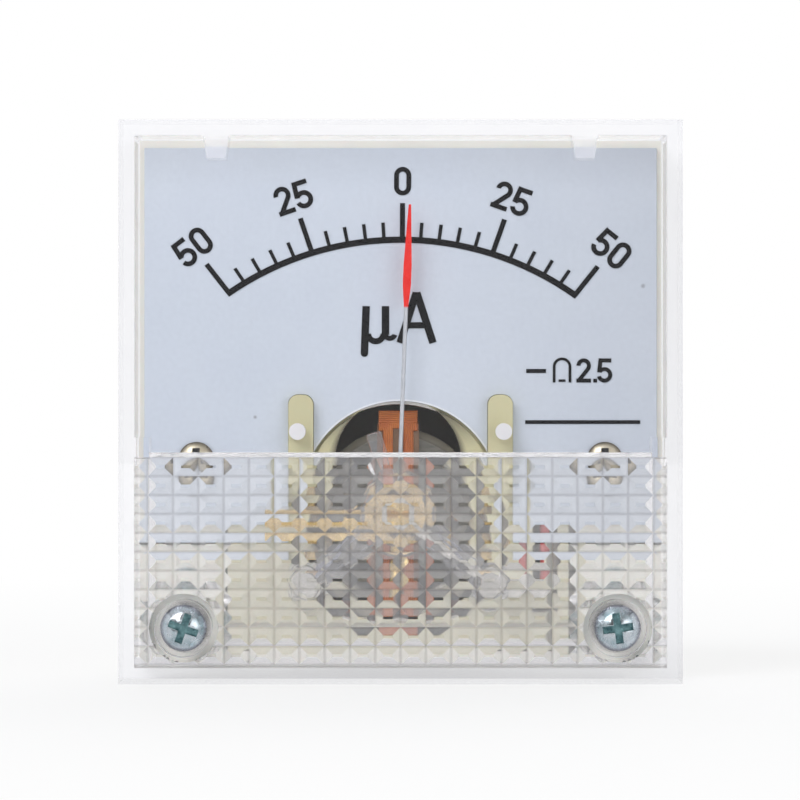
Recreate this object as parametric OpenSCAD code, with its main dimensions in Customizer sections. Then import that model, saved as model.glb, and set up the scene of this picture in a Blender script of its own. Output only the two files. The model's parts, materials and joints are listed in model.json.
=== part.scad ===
// Square analog panel meter with a centre-zero moving-coil movement.
// Frame: +X is the viewer's right, +Z is up and the dial faces -Y. The origin is the middle of the
// mounting plane, where the rear of the square flange lies against the panel.

/* [Cover] */
// Side of the square clear cover
cover_w = 45; // [44:0.5:48]
// How far the cover stands in front of the panel
cover_depth = 10.5; // [10.5:0.1:12]
// Thickness of the cover's side walls
cover_wall = 1.2; // [1:0.05:1.3]
// Thickness of the clear window
window_t = 1.3; // [1.2:0.05:1.35]
// Height of the prismatic band's upper edge above the centre
band_top = -4.45; // [-5:0.05:-4]
// Spacing of the ridges across the band
ridge_pitch_x = 2.02; // [1.9:0.01:2.1]
// Spacing of the ridges down the band
ridge_pitch_z = 1.508; // [1.4:0.002:1.6]
// Width of a ridge's flank
ridge_flank = 0.65; // [0.5:0.05:0.7]
// Height of a ridge above the pits beside it
ridge_h = 0.4; // [0.3:0.05:0.5]

/* [Case] */
// Side of the square flange inside the cover
flange_w = 42.2; // [42:0.1:42.4]
// Thickness of the flange's floor
flange_t = 1.8; // [1.5:0.1:2]
// Outer radius of the round barrel behind the panel
barrel_r = 18.5; // [18.4:0.1:18.8]
// Height of the barrel's axis above the centre
barrel_z = -1.7; // [-2:0.1:-1.5]
// Depth of the barrel behind the panel
barrel_depth = 16; // [15:0.5:20]
// Thickness of the barrel's wall
barrel_wall = 1.2; // [1:0.1:1.3]
// Thickness of the barrel's back
back_t = 1.6; // [1.4:0.1:2]
// Sideways distance of the panel studs and cover screws from the centre
stud_x = 17.35; // [17:0.05:17.8]
// Height distance of the panel studs and cover screws from the centre
stud_z = 18.1; // [17.8:0.05:18.3]
// Radius of the panel studs
stud_r = 1.5; // [1.25:0.05:1.5]
// Length of the panel studs behind the panel
stud_len = 11; // [8:1:16]
// Sideways distance of the terminals from the centre
terminal_x = 9.5; // [9:0.1:10]
// Radius of the terminal studs
terminal_r = 2; // [1.5:0.1:2]
// Length of the terminal studs behind the barrel
terminal_len = 10; // [10:1:14]

/* [Dial] */
// Width of the dial plate
dial_w = 41.4; // [41:0.1:42]
// Height of the dial's top edge above the centre
dial_top = 20.5; // [20:0.1:20.8]
// Height of the dial's two lower edges above the centre
dial_bottom = -11.4; // [-12:0.1:-11]
// Front face of the dial
dial_y = -5; // [-5.1:0.05:-4.95]
// Thickness of the dial plate
dial_t = 0.4; // [0.35:0.05:0.5]
// Thickness of the printed ink
ink_t = 0.05; // [0.03:0.01:0.1]
// Angle between zero and each end of the scale
scale_half_angle = 38.3; // [30:0.1:40]
// Inner radius of the scale's arc
arc_r = 24.19; // [23:0.01:25]
// Width of the scale's arc
arc_w = 0.5; // [0.3:0.01:0.6]
// How far the centre of the arc lies below the pivot
arc_drop = 2.35; // [0:0.05:3]
// Small clockwise turn with which the scale is printed
scale_turn = 0.33; // [-0.5:0.01:0.5]
// Height of the numerals
numeral_h = 2.3; // [2:0.05:2.5]

/* [Movement] */
// Height of the pointer's pivot above the centre
pivot_z = -9; // [-9.1:0.05:-8.9]
// Sideways distance of the pivot from the centre
pivot_x = -0.2; // [-0.2:0.05:0.2]
// Resting angle of the pointer, clockwise from zero
rest_angle = 2.2; // [-3:0.1:3]
// Length of the pointer from its pivot
pointer_len = 24.9; // [22:0.1:25]
// Radius of the magnet core
core_r = 6.8; // [6.6:0.05:6.85]
// Radius of the yoke's bore
yoke_bore = 8.75; // [8.7:0.05:8.8]
// Outer radius of the yoke
yoke_r = 9.75; // [9.6:0.05:9.75]
// Front face of the yoke
yoke_front = -3.6; // [-3.7:0.05:-3.5]
// Rear face of the yoke
yoke_back = 3.8; // [3:0.1:4]
// Width of the coil across its winding
coil_w = 3.2; // [3:0.1:3.4]
// Thickness of the coil's winding at its sides
coil_t = 1.1; // [0.9:0.05:1.15]

/* [Hidden] */
$fn = 64;
eps = 0.01;

// Cover
cover_in = cover_w - 2 * cover_wall;
window_y = -cover_depth + window_t;
pit_y = window_y + 0.05;
ridge_y = pit_y + ridge_h;
columns = 10;
rows = 11;
well_r = 2.3;
well_depth = 1.4;
cover_boss_r = 2.75;
clear_gap = 0.05;
cover_hole_r = 1.15;
screw_head_r = 1.85;
screw_head_h = 1.15;
screw_r = 1;
tab_x = 14.75;
tab_w = 2.1;
tab_drop = 1.85;
side_rib_w = 1.2;

// Case
rim_y = dial_y + dial_t;
rim_wall = 1.2;
insert_r = 2.2;
insert_front = -3.6;
insert_len = 2.4;
insert_boss_r = 3;
stud_collar_r = stud_r + 0.5;
dial_screw_x = 16.5;
dial_screw_z = -4.7;
dial_post_r = 1.9;
shelf_x = 14.2;
shelf_y = -4.4;
shelf_top = -11.6;
pillar_in = 12.5;
pillar_h = 4.4;
lug_y = -1.8;
lug_t = 1.5;
frame_screw_x = 13.8;
cavity_r = barrel_r - barrel_wall;
cavity_back = barrel_depth - back_t;

// Dial
pen = 0.165;
arch_r = 8;
arch_z = -7.95;
ear_in = 7.05;
ear_out = 9.05;
ear_top = 0.55;
slot_gap = 0.03;
ear_y = -5.8;
stop_x = 8.3;
stop_z = -2.4;
stop_front = -7.1;

// Movement
frame_y = rim_y + 0.1;
frame_r = 11.1;
frame_back = 5.6;
frame_cut_z = -7.9;
cheek_y = -5.3;
cheek_back = -4.3;
cheek_r = 7.75;
skirt_x = 13.8;
skirt_low = -10.7;
skirt_top = -2.3;
leg_x = 7.4;
leg_z = -5.5;
leg_r = 1.2;
rear_screw_x = 10.4;
former_t = 0.15;
former_in = core_r + 0.25;
former_front = -3.3;
former_back = 3.7;
coil_front = -4.1;
coil_back = 4.65;
coil_in = former_in + former_t;
coil_out = coil_in + coil_t;
coil_slot = 0.42;
staff_r = 0.35;
tip_r = 0.12;
hub_y = -6.3;
hub_r = 1;
hub_t = 0.6;
arm_r = 0.2;
bridge_y = -8.15;
bridge_t = 0.8;
head_sink = 0.5;
jewel_r = 0.5;
jewel_screw_r = 0.9;
front_jewel_y = -7;
rear_jewel_y = 5.45;
spring_turns = 4;
spring_in = 0.62;
spring_out = 2.4;
spring_t = 0.08;
spring_w = 0.32;
spring_steps = 16;
anchor_x = 2.5;
front_spring_y = -6.98;
rear_spring_y = 4.9;

// Leads
wire_r = 0.4;
bend_r = 1.2;
front_lead_x = 11.7;
front_lead_y = -3.9;
terminal_head_y = cavity_back - 1.6;
contact_t = 0.3;

cream = [0.90, 0.87, 0.70];
clear = [0.88, 0.91, 0.95, 0.35];
nickel = [0.78, 0.78, 0.76];
brass = [0.83, 0.66, 0.30];
ink = [0.04, 0.04, 0.05];

// ---------- helpers ----------

// Box between two corners
module box(x0, x1, y0, y1, z0, z1) {
    translate([x0, y0, z0]) cube([x1 - x0, y1 - y0, z1 - z0]);
}

// Round bar along Y from y0 to y1
module rod(x, z, y0, y1, r) {
    translate([x, y0, z]) rotate([-90, 0, 0]) cylinder(h = y1 - y0, r = r);
}

// Cone along Y
module taper(x, z, y0, y1, r0, r1) {
    translate([x, y0, z]) rotate([-90, 0, 0]) cylinder(h = y1 - y0, r1 = r0, r2 = r1);
}

// Outline drawn in X and Z, thickened from y0 to y1
module slab(y0, y1) {
    translate([0, y1, 0]) rotate([90, 0, 0]) linear_extrude(y1 - y0) children();
}

// Children placed on the pivot and turned clockwise by an angle
module on_pivot(angle = 0) {
    translate([pivot_x, 0, pivot_z]) rotate([0, angle, 0]) children();
}

// The same thing on the left and on the right
module both_sides() {
    children();
    mirror([1, 0, 0]) children();
}

// Round head with a domed front and a cross recess; y is the seat of the head
module domed_head(x, z, y, r, h, slot_w, turn) {
    dome_r = (r * r + h * h) / (2 * h) + 0.35;
    difference() {
        intersection() {
            rod(x, z, y - h, y, r);
            translate([x, y - h + dome_r, z]) sphere(r = dome_r);
        }
        translate([x, y - h, z]) rotate([0, turn, 0]) cross_recess(r, h, slot_w);
    }
}

module cross_recess(r, h, slot_w) {
    reach = r * 0.66;
    box(-reach, reach, -1, h * 0.62, -slot_w / 2, slot_w / 2);
    box(-slot_w / 2, slot_w / 2, -1, h * 0.62, -reach, reach);
}

// Flat outline with rounded ends, centred
module pill(w, h) {
    square([w, h - w], center = true);
    translate([0, (h - w) / 2]) circle(d = w);
    translate([0, (w - h) / 2]) circle(d = w);
}

// Ring sector in the plane, from angle a0 anticlockwise to a1, less than a half turn
module arc_stroke(r, w, a0, a1) {
    far = 4 * r;
    intersection() {
        difference() {
            circle(r = r + w / 2);
            circle(r = r - w / 2);
        }
        polygon([
            [0, 0], far * [cos(a0), sin(a0)],
            far * [cos((a0 + a1) / 2), sin((a0 + a1) / 2)], far * [cos(a1), sin(a1)]
        ]);
    }
}

// Straight stroke between two points with square ends
module stroke(p, q, w) {
    run = norm(q - p);
    translate(p) rotate(atan2(q[1] - p[1], q[0] - p[0])) translate([0, -w / 2]) square([run, w]);
}

// ---------- case and cover ----------

// Ridges that run up the band, seen from above
module ridges_up() {
    half = cover_in / 2 + eps;
    linear_extrude(band_top - (-cover_in / 2) + eps)
        polygon(concat(
            [[half, window_y - 0.3], [-half, window_y - 0.3], [-half, pit_y]],
            [for (k = [-columns : columns]) each [
                [k * ridge_pitch_x - ridge_flank, pit_y],
                [k * ridge_pitch_x, ridge_y],
                [k * ridge_pitch_x + ridge_flank, pit_y]
            ]],
            [[half, pit_y]]
        ));
}

// Ridges that run across the band, seen from the side as (Y, Z)
module ridges_across() {
    bottom = -cover_in / 2 - eps;
    rotate([0, 0, 90]) rotate([90, 0, 0]) linear_extrude(cover_in + 2 * eps, center = true)
        polygon(concat(
            [[window_y - 0.3, bottom], [window_y - 0.3, band_top + 0.4], [window_y, band_top + 0.4]],
            [for (k = [0 : rows]) each concat(
                k == 0 ? [] : [[pit_y, band_top - k * ridge_pitch_z + ridge_flank]],
                [[ridge_y, band_top - k * ridge_pitch_z]],
                k == rows ? [] : [[pit_y, band_top - k * ridge_pitch_z - ridge_flank]]
            )],
            [[ridge_y, bottom]]
        ));
}

// Tabs under the top wall and ribs on the side walls that keep the dial in place
module cover_ribs() {
    both_sides() {
        slab(window_y - eps, dial_y - 0.3) translate([tab_x, cover_in / 2]) polygon([
            [-tab_w / 2, eps], [tab_w / 2, eps],
            [tab_w / 2 - 0.3, -tab_drop], [0.3 - tab_w / 2, -tab_drop]
        ]);
        box(cover_in / 2 - side_rib_w, cover_in / 2 + eps, window_y - eps, dial_y - 0.3,
            band_top, band_top + 1.6);
    }
}

// Clear moulding: window, side walls, prismatic band and two screw bosses
module front_cover() {
    color(clear)
    difference() {
        union() {
            difference() {
                box(-cover_w / 2, cover_w / 2, -cover_depth, 0, -cover_w / 2, cover_w / 2);
                box(-cover_in / 2, cover_in / 2, window_y, 1, -cover_in / 2, cover_in / 2);
            }
            translate([0, 0, -cover_in / 2 - eps]) ridges_up();
            ridges_across();
            cover_ribs();
            both_sides() rod(stud_x, -stud_z, window_y - eps, insert_front - clear_gap, cover_boss_r);
        }
        both_sides() {
            rod(stud_x, -stud_z, -cover_depth - 1, -cover_depth + well_depth, well_r);
            rod(stud_x, -stud_z, -cover_depth, 0, cover_hole_r);
        }
    }
}

module case_shell() {
    half = flange_w / 2;
    difference() {
        union() {
            box(-half, half, rim_y, 0, -half, half);
            rod(0, barrel_z, -eps, barrel_depth, barrel_r);
        }
        box(rim_wall - half, half - rim_wall, rim_y - 1, -flange_t, rim_wall - half, half - rim_wall);
        rod(0, barrel_z, -flange_t - 1, cavity_back, cavity_r);
    }
}

// Posts and pillars that stand inside the barrel, merged into its wall
module case_posts() {
    intersection() {
        rod(0, barrel_z, rim_y, cavity_back + eps, cavity_r + eps);
        both_sides() {
            rod(dial_screw_x, dial_screw_z, rim_y, 6, dial_post_r);
            box(pillar_in, cavity_r + 1, lug_y, cavity_back + eps,
                pivot_z - pillar_h / 2, pivot_z + pillar_h / 2);
        }
    }
    both_sides() rod(dial_screw_x, dial_screw_z, rim_y, -flange_t + eps, dial_post_r);
}

// Raised floor in the two lower corners, level with the frame's skirt
module corner_shelves() {
    inner = flange_w / 2 - rim_wall + eps;
    both_sides() box(shelf_x, inner, shelf_y, -flange_t + eps, -inner, shelf_top);
}

// Cream moulding: flange, rim, barrel and the posts for the movement and dial
module rear_case() {
    color(cream)
    difference() {
        union() {
            case_shell();
            case_posts();
            corner_shelves();
            for (side = [-1, 1]) both_sides()
                rod(stud_x, side * stud_z, insert_front, -eps, insert_boss_r);
        }
        for (side = [-1, 1]) both_sides() {
            rod(stud_x, side * stud_z, insert_front - 1, insert_front + insert_len, insert_r);
            rod(stud_x, side * stud_z, insert_front, 1, stud_collar_r);
        }
        both_sides() {
            rod(stud_x, -stud_z, rim_y - 1, insert_front, cover_boss_r + 0.15);
            rod(dial_screw_x, dial_screw_z, rim_y - 1, -0.5, 0.8);
            rod(terminal_x, barrel_z, cavity_back - 1, barrel_depth + 1, terminal_r);
        }
        on_pivot() both_sides() rod(frame_screw_x, 0, lug_y - 1, 3, 0.8);
    }
}

module panel_stud(x, z, tapped) {
    difference() {
        union() {
            rod(x, z, insert_front, insert_front + insert_len, insert_r);
            rod(x, z, insert_front + insert_len, 0, stud_collar_r);
            rod(x, z, 0, stud_len - 0.4, stud_r);
            taper(x, z, stud_len - 0.4, stud_len, stud_r, stud_r - 0.35);
        }
        if (tapped) rod(x, z, insert_front - 1, insert_front + 2.1, screw_r + 0.02);
    }
}

// Four studs moulded into the flange; the lower two are tapped for the cover screws
module panel_studs() {
    color(nickel) both_sides() {
        panel_stud(stud_x, stud_z, false);
        panel_stud(stud_x, -stud_z, true);
    }
}

module cover_screw(x, turn) {
    seat = -cover_depth + well_depth;
    domed_head(x, -stud_z, seat, screw_head_r, screw_head_h, 0.6, turn);
    rod(x, -stud_z, seat, insert_front + 2, screw_r);
}

module cover_screws() {
    color([0.62, 0.70, 0.72]) {
        cover_screw(-stud_x, 20);
        cover_screw(stud_x, -8);
    }
}

// ---------- dial ----------

// Opening for the movement, with a slot for each ear of the movement's frame
module dial_opening() {
    translate([0, arch_z]) circle(r = arch_r);
    translate([-ear_out, dial_bottom - 1]) square([2 * ear_out, arch_z - dial_bottom - 2]);
    for (side = [-1, 1]) translate([side * (ear_in + ear_out) / 2, 0])
        ear_outline(ear_out - ear_in + 2 * slot_gap, ear_top + slot_gap);
}

// Ear with rounded top corners
module ear_outline(w, top) {
    corner = 0.8;
    translate([-w / 2, dial_bottom - 1]) square([w, top - dial_bottom + 1 - corner]);
    translate([-w / 2 + corner, dial_bottom - 1]) square([w - 2 * corner, top - dial_bottom + 1]);
    for (side = [-1, 1]) translate([side * (w / 2 - corner), top - corner]) circle(r = corner);
}

module dial_plate() {
    color([0.78, 0.83, 0.88])
    slab(dial_y, dial_y + dial_t) difference() {
        translate([-dial_w / 2, dial_bottom]) square([dial_w, dial_top - dial_bottom]);
        dial_opening();
        for (side = [-1, 1]) translate([side * dial_screw_x, dial_screw_z]) circle(r = 0.95);
    }
}

// Part of the plane between the pivot's rays at plus and minus an angle
module fan(half_angle) {
    far = 60;
    translate([0, pivot_z]) polygon([
        [0, 0], far * [-sin(half_angle), cos(half_angle)],
        [0, far], far * [sin(half_angle), cos(half_angle)]
    ]);
}

// Band about the centre of the arc
module arc_band(r0, r1) {
    translate([0, pivot_z - arc_drop]) difference() {
        circle(r = r1, $fn = 128);
        circle(r = r0, $fn = 128);
    }
}

module tick(angle, reach, w) {
    intersection() {
        arc_band(arc_r + arc_w / 2, arc_r + reach);
        translate([0, pivot_z]) rotate(-angle) translate([-w / 2, 10]) square([w, 30]);
    }
}

module scale_lines() {
    major_w = 0.4;
    minor_w = 0.28;
    edge = asin(major_w / 2 / arc_r);
    intersection() {
        arc_band(arc_r, arc_r + arc_w);
        fan(scale_half_angle + edge);
    }
    for (k = [-10 : 10]) {
        major = k % 5 == 0;
        tick(k * scale_half_angle / 10, major ? 3.2 : 1.67, major ? major_w : minor_w);
    }
}

// Numerals are drawn 1 high, on the baseline and centred
module digit_0() {
    translate([0, 0.5]) difference() {
        pill(0.6, 1);
        pill(0.6 - 2 * pen, 1 - 2 * pen);
    }
}

module digit_2() {
    r = 0.3 - pen / 2;
    translate([0, 0.7]) arc_stroke(r, pen, 90, 180);
    translate([0, 0.7]) arc_stroke(r, pen, -35, 90);
    stroke([0.215, 0.615], [-0.2, 0.085], pen);
    translate([-0.3, 0]) square([0.6, pen]);
}

module digit_5() {
    r = 0.32 - pen / 2;
    translate([-0.01, 0.32]) {
        arc_stroke(r, pen, 0, 150);
        arc_stroke(r, pen, -90, 0);
        arc_stroke(r, pen, -165, -90);
    }
    translate([-0.25, 1 - pen]) square([0.52, pen]);
    stroke([-0.17, 1], [-0.23, 0.42], pen);
}

// Digits set in a row, each one numeral_pitch after the last
module numeral(digits, h) {
    pitch = 0.7;
    first = -(len(digits) - 1) * pitch / 2;
    for (i = [0 : len(digits) - 1])
        translate([(first + i * pitch) * h, -h / 2]) scale(h) {
            if (digits[i] == 0) digit_0();
            if (digits[i] == 2) digit_2();
            if (digits[i] == 5) digit_5();
        }
}

module scale_numerals() {
    radius = 29.17;
    values = [[5, 0], [2, 5], [0], [2, 5], [5, 0]];
    for (i = [0 : 4]) {
        angle = (i - 2) * scale_half_angle / 2;
        // The numerals ride on a circle about the arc's centre, turned with their ticks
        swing = angle - asin(arc_drop * sin(angle) / radius);
        translate([0, pivot_z - arc_drop]) rotate(-swing) translate([0, radius])
            rotate(swing - angle) numeral(values[i], numeral_h);
    }
}

// Unit in the middle of the dial
module unit_mark() {
    w = 0.6;
    // mu
    translate([-3.02, 3.7]) {
        stroke([0.1, 0.22], [0.24, 4.02], w);
        translate([0.1, 0.22]) circle(d = w);
        translate([1.5, 1.7]) square([w, 2.32]);
        translate([1.02, 1.8]) {
            arc_stroke(0.62, 0.48, 180, 270);
            arc_stroke(0.62, 0.48, 270, 360);
        }
        translate([2.15, 1.86]) arc_stroke(0.44, 0.4, 195, 340);
    }
    // A
    translate([1.29, 4.75]) {
        stroke([-1.33, 0], [-0.02, 4.05], w);
        stroke([1.33, 0], [0.02, 4.05], w);
        translate([-0.95, 1.17]) square([1.9, 0.5]);
        translate([-0.26, 3.75]) square([0.52, 0.35]);
    }
}

// Direct current, moving-coil and accuracy marks, with a plain rule below
module class_marks() {
    translate([10.15, 2.32]) square([1.6, 0.32]);
    translate([13.05, 1.55]) {
        translate([0, 1.27]) arc_stroke(0.64, 0.22, 0, 90);
        translate([0, 1.27]) arc_stroke(0.64, 0.22, 90, 180);
        for (side = [-1, 1]) translate([side * 0.64 - 0.11, 0]) square([0.22, 1.28]);
        translate([-0.28, 0.05]) square([0.56, 0.2]);
    }
    translate([14.8, 2.52]) numeral([2], 1.95);
    translate([15.58, 1.55]) square([0.3, 0.3]);
    translate([16.5, 2.52]) numeral([5], 1.95);
    translate([10.07, -1.8]) square([9.3, 0.3]);
}

// Children turned a little about the centre of the arc
module printed_turn() {
    centre = pivot_z - arc_drop;
    translate([0, centre]) rotate(-scale_turn) translate([0, -centre]) children();
}

module dial_print() {
    color(ink)
    slab(dial_y - ink_t, dial_y) {
        printed_turn() {
            scale_lines();
            scale_numerals();
        }
        unit_mark();
        class_marks();
    }
}

module dial_screws() {
    color(nickel) both_sides() {
        domed_head(dial_screw_x, dial_screw_z, dial_y, 1.45, 0.85, 0.6, 0);
        rod(dial_screw_x, dial_screw_z, dial_y, -1, 0.78);
    }
}

// ---------- fixed part of the movement ----------

// Opening in the frame's front, wider below the pivot than above it
module cheek_opening() {
    translate([0, 4.2]) circle(r = 5.1);
    translate([0, -1.5]) circle(r = 7.6);
}

// Disc with its lower edge cut straight
module frame_disc(r) {
    intersection() {
        circle(r = r);
        translate([-20, frame_cut_z]) square([40, 40]);
    }
}

// Front wall over the yoke with a skirt below the dial, and two cheeks in the dial's opening
module frame_front() {
    difference() {
        union() {
            slab(frame_y, yoke_front) {
                frame_disc(frame_r);
                translate([-skirt_x, skirt_low]) square([2 * skirt_x, skirt_top - skirt_low]);
            }
            slab(cheek_y, frame_y + eps) intersection() {
                translate([-pivot_x, arch_z - pivot_z]) circle(r = cheek_r);
                frame_disc(frame_r);
            }
        }
        slab(cheek_y - 1, yoke_front + 1) cheek_opening();
    }
}

// Cream moulding that carries the yoke, the bridges and the two ears
module movement_frame() {
    color(cream)
    difference() {
        union() {
            on_pivot() {
                frame_front();
                slab(yoke_front - eps, frame_back) difference() {
                    frame_disc(frame_r);
                    circle(r = yoke_r + 0.02);
                }
                both_sides() {
                    box(9.5, 15.6, lug_y - lug_t, lug_y, -2, 2);
                    rod(leg_x, leg_z, cheek_y, -1, leg_r);
                    rod(rear_screw_x, 0, 0, frame_back, 1.5);
                }
            }
            slab(ear_y, -2) both_sides() intersection() {
                translate([(ear_in + ear_out) / 2, 0]) ear_outline(ear_out - ear_in, ear_top);
                translate([0, -6.5]) square([20, 20]);
            }
        }
        on_pivot() {
            rod(0, 0, yoke_front, frame_back + 1, yoke_r + 0.02);
            rod(0, 0, cheek_back, yoke_front + eps, yoke_bore);
            both_sides() {
                rod(frame_screw_x, 0, -5, 1, 0.8);
                rod(leg_x, leg_z, cheek_y - 1, yoke_front, 0.5);
                rod(rear_screw_x, 0, frame_back - 3.2, frame_back + 1, 0.6);
            }
        }
        both_sides() rod(stop_x, stop_z, ear_y - 1, -4.2, 0.4);
        box(front_lead_x - 1, front_lead_x + 1, cheek_y, yoke_front + eps,
            pivot_z + leg_z - 1, dial_bottom + 1);
    }
}

module frame_screws() {
    color(nickel) on_pivot() both_sides() {
        domed_head(frame_screw_x, 0, lug_y - lug_t, 1.3, 0.8, 0.35, 10);
        rod(frame_screw_x, 0, lug_y - lug_t, 2.5, 0.78);
    }
}

// White sleeves on the ears; the pointer stops against them
module stop_pins() {
    color([0.97, 0.97, 0.97]) both_sides() {
        rod(stop_x, stop_z, stop_front, ear_y, 0.67);
        rod(stop_x, stop_z, ear_y, -4.3, 0.4);
    }
}

module yoke_ring() {
    color(nickel) on_pivot() difference() {
        rod(0, 0, yoke_front, yoke_back, yoke_r);
        rod(0, 0, yoke_front - 1, yoke_back + 1, yoke_bore);
    }
}

module core_magnet() {
    bevel = 0.6;
    color([0.42, 0.42, 0.43]) on_pivot() {
        taper(0, 0, -3, -3 + bevel, core_r - bevel, core_r);
        rod(0, 0, -3 + bevel, 3.4 - bevel, core_r);
        taper(0, 0, 3.4 - bevel, 3.4, core_r, core_r - bevel);
    }
}

// Two curved blocks in the air gap that hold the core beside the coil's path
module core_holders() {
    color(brass) on_pivot() both_sides() slab(-2.2, 2.4) intersection() {
        difference() {
            circle(r = yoke_bore);
            circle(r = core_r);
        }
        polygon([[0, 0], [12, -5.6], [12, 5.6]]);
    }
}

module bridge_outline() {
    circle(r = 3);
    for (side = [-1, 1]) {
        stroke([0, 0], [side * leg_x, leg_z], 2);
        translate([side * leg_x, leg_z]) circle(r = 1.5);
    }
    // Tongue that carries the upper end of the spring's anchor
    rotate(17) translate([-0.6, 0]) square([1.2, 6.8]);
}

// Clear moulding in front of the coil, with the front bearing in its middle
module front_bridge() {
    color([0.93, 0.94, 0.96, 0.6]) on_pivot() difference() {
        union() {
            slab(bridge_y, bridge_y + bridge_t) bridge_outline();
            rod(-leg_x, leg_z, bridge_y, cheek_y - clear_gap, leg_r);
            rod(leg_x, leg_z, bridge_y, cheek_y - contact_t - clear_gap, leg_r);
        }
        rod(0, 0, bridge_y - 1, 0, jewel_screw_r + 0.02);
        both_sides() {
            rod(leg_x, leg_z, bridge_y - 1, bridge_y + head_sink, 1.05);
            rod(leg_x, leg_z, bridge_y, 0, 0.5);
        }
    }
}

module bridge_screws() {
    color(nickel) on_pivot() both_sides() {
        difference() {
            rod(leg_x, leg_z, bridge_y, bridge_y + head_sink, 1);
            box(leg_x - 2, leg_x + 2, bridge_y - 1, bridge_y + 0.25, leg_z - 0.12, leg_z + 0.12);
        }
        rod(leg_x, leg_z, bridge_y + head_sink, yoke_front - 0.1, 0.48);
    }
}

// Nickel-plated tag under the right leg of the bridge, where the front lead ends
module front_contact() {
    y0 = cheek_y - contact_t;
    color(nickel) on_pivot() {
        slab(y0, cheek_y) difference() {
            union() {
                translate([leg_x, leg_z]) circle(r = 1.3);
                translate([leg_x, leg_z - 0.6]) square([front_lead_x + 0.6 - leg_x, 1.2]);
            }
            translate([leg_x, leg_z]) circle(r = 0.5);
        }
        box(front_lead_x - 0.6, front_lead_x + 0.6, cheek_y - eps, front_lead_y + 0.5,
            leg_z - 0.6, leg_z + 0.6);
    }
}

// Brass strip on the bridge from the bearing screw to the head of the right leg's screw
module contact_strip() {
    color(brass) on_pivot() slab(bridge_y - 0.12, bridge_y) difference() {
        union() {
            circle(r = 1.3);
            stroke([0, 0], [leg_x, leg_z], 0.6);
            translate([leg_x, leg_z]) circle(r = 1);
        }
        circle(r = jewel_screw_r);
    }
}

// Bearing screw with a slot at its outer end; dir is -1 at the front and 1 at the rear
module jewel_screw(outer, inner, dir) {
    y0 = min(outer, inner);
    y1 = max(outer, inner);
    difference() {
        union() {
            rod(0, 0, y0, y1, jewel_screw_r);
            rod(0, 0, min(inner, inner + dir * 0.12), max(inner, inner + dir * 0.12), 1.3);
        }
        box(-1, 1, outer - 0.35, outer + 0.35, -0.15, 0.15);
        rod(0, 0, min(inner - dir, inner + dir * 0.6), max(inner - dir, inner + dir * 0.6), jewel_r);
    }
}

module jewel(inner, dir) {
    cup = 0.2;
    difference() {
        rod(0, 0, min(inner, inner + dir * 0.6), max(inner, inner + dir * 0.6), jewel_r);
        rod(0, 0, min(inner - dir, inner + dir * 0.35), max(inner - dir, inner + dir * 0.35), cup);
    }
}

module front_jewel_screw() {
    color(brass) on_pivot() jewel_screw(-8.35, front_jewel_y, -1);
}

module front_jewel() {
    color([0.75, 0.2, 0.3]) on_pivot() jewel(front_jewel_y, -1);
}

// Brass lever that turns the outer end of the front hairspring
module zero_lever() {
    y0 = bridge_y + bridge_t + 0.03;
    y1 = -7.14;
    color(brass) on_pivot() {
        slab(y0, y1) difference() {
            union() {
                circle(r = 2.7);
                translate([-10.7, -1.75]) square([10.7, 1.4]);
                translate([0, -0.35]) square([2.75, 0.7]);
            }
            circle(r = jewel_screw_r + 0.04);
        }
        box(anchor_x, anchor_x + 0.25, y1 - eps, front_spring_y + spring_w, -0.35, 0.35);
    }
}

// Flat spiral ribbon whose outer end turns out to its anchor
function spiral_point(i, offset) =
    let (turn = i / spring_steps, r = spring_in + (spring_out - spring_in) * turn / spring_turns)
    (r + offset) * [cos(360 * turn), sin(360 * turn)];

module spiral() {
    n = spring_turns * spring_steps;
    polygon(concat(
        [for (i = [0 : n]) spiral_point(i, -spring_t / 2)],
        [[anchor_x, 0], [anchor_x, -0.12]],
        [for (i = [n - 1 : -1 : 0]) spiral_point(i, spring_t / 2)]
    ));
}

module front_hairspring() {
    color([0.85, 0.55, 0.2]) on_pivot() slab(front_spring_y, front_spring_y + spring_w) spiral();
}

// ---------- moving part ----------

// Rectangular loop round the core, drawn in (Z, Y) and thickened along X
module loop(w, y0, y1, half, t_end, t_side) {
    difference() {
        box(-w / 2, w / 2, y0, y1, -half, half);
        box(-w, w, y0 + t_end, y1 - t_end, t_side - half, half - t_side);
    }
}

module coil_former() {
    color([0.75, 0.76, 0.78]) on_pivot()
        loop(coil_w + 0.2, former_front - former_t, former_back + former_t, coil_in,
             former_t, former_t);
}

// Winding, split round the staffs where it crosses the core
module moving_coil() {
    waist = 1.25;
    shoulder = 6.6;
    color([0.72, 0.36, 0.22]) on_pivot() difference() {
        box(-coil_w / 2, coil_w / 2, coil_front, coil_back, -coil_out, coil_out);
        box(-coil_w, coil_w, former_front - former_t, former_back + former_t, -coil_in, coil_in);
        box(-coil_slot, coil_slot, coil_front - 1, coil_back + 1, -coil_in + 0.4, coil_in - 0.4);
        both_sides()
            box(waist, coil_w, coil_front - 1, coil_back + 1, -shoulder, shoulder);
    }
}

module front_staff() {
    base = former_front - former_t;
    color(nickel) on_pivot() {
        box(-0.4, 0.4, base - 0.4, base, -1.6, 1.6);
        rod(0, 0, front_jewel_y + 0.02, base - 0.4, staff_r);
        rod(0, 0, front_jewel_y - 0.2, front_jewel_y + 0.02, tip_r);
    }
}

module rear_staff() {
    base = former_back + former_t;
    color(nickel) on_pivot() {
        box(-0.4, 0.4, base, base + 0.4, -1.6, 1.6);
        rod(0, 0, base + 0.4, rear_jewel_y - 0.02, staff_r);
        rod(0, 0, rear_jewel_y - 0.02, rear_jewel_y + 0.2, tip_r);
    }
}

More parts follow.
